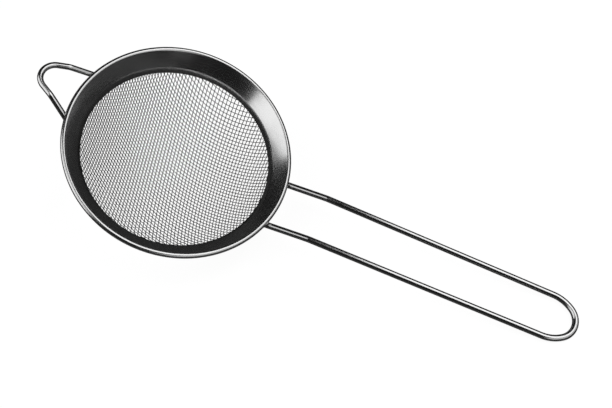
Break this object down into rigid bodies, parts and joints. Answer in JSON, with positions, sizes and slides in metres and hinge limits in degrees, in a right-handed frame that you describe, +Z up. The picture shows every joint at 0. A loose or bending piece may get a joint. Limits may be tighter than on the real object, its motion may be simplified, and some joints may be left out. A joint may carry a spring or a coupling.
{
  "type": "kitchen strainer",
  "caption": "Small round kitchen strainer: a woven wire mesh bowl in a conical rim with a curled bead, a long wire handle and a wire rest loop opposite it.",
  "frame": {"origin": "on the surface that the strainer lies on, below the middle of its length and width", "axes": "+Z up from the surface that it lies on; +X along the handle, from the bowl to the handle's tip; Y across the handle"},
  "size_m": [0.245, 0.1, 0.0607],
  "materials": {
    "rim_steel": "polished pressed stainless sheet",
    "mesh_wire": "drawn and woven stainless wire",
    "hoop_steel": "rolled stainless strip",
    "bright_wire": "bright polished stainless wire"
  },
  "bodies": {
    "root": {"rim": "rim_steel", "mesh_bowl": "mesh_wire", "clamp_hoop": "hoop_steel", "handle": "bright_wire", "rest_loop": "bright_wire"}
  },
  "joints": []
}
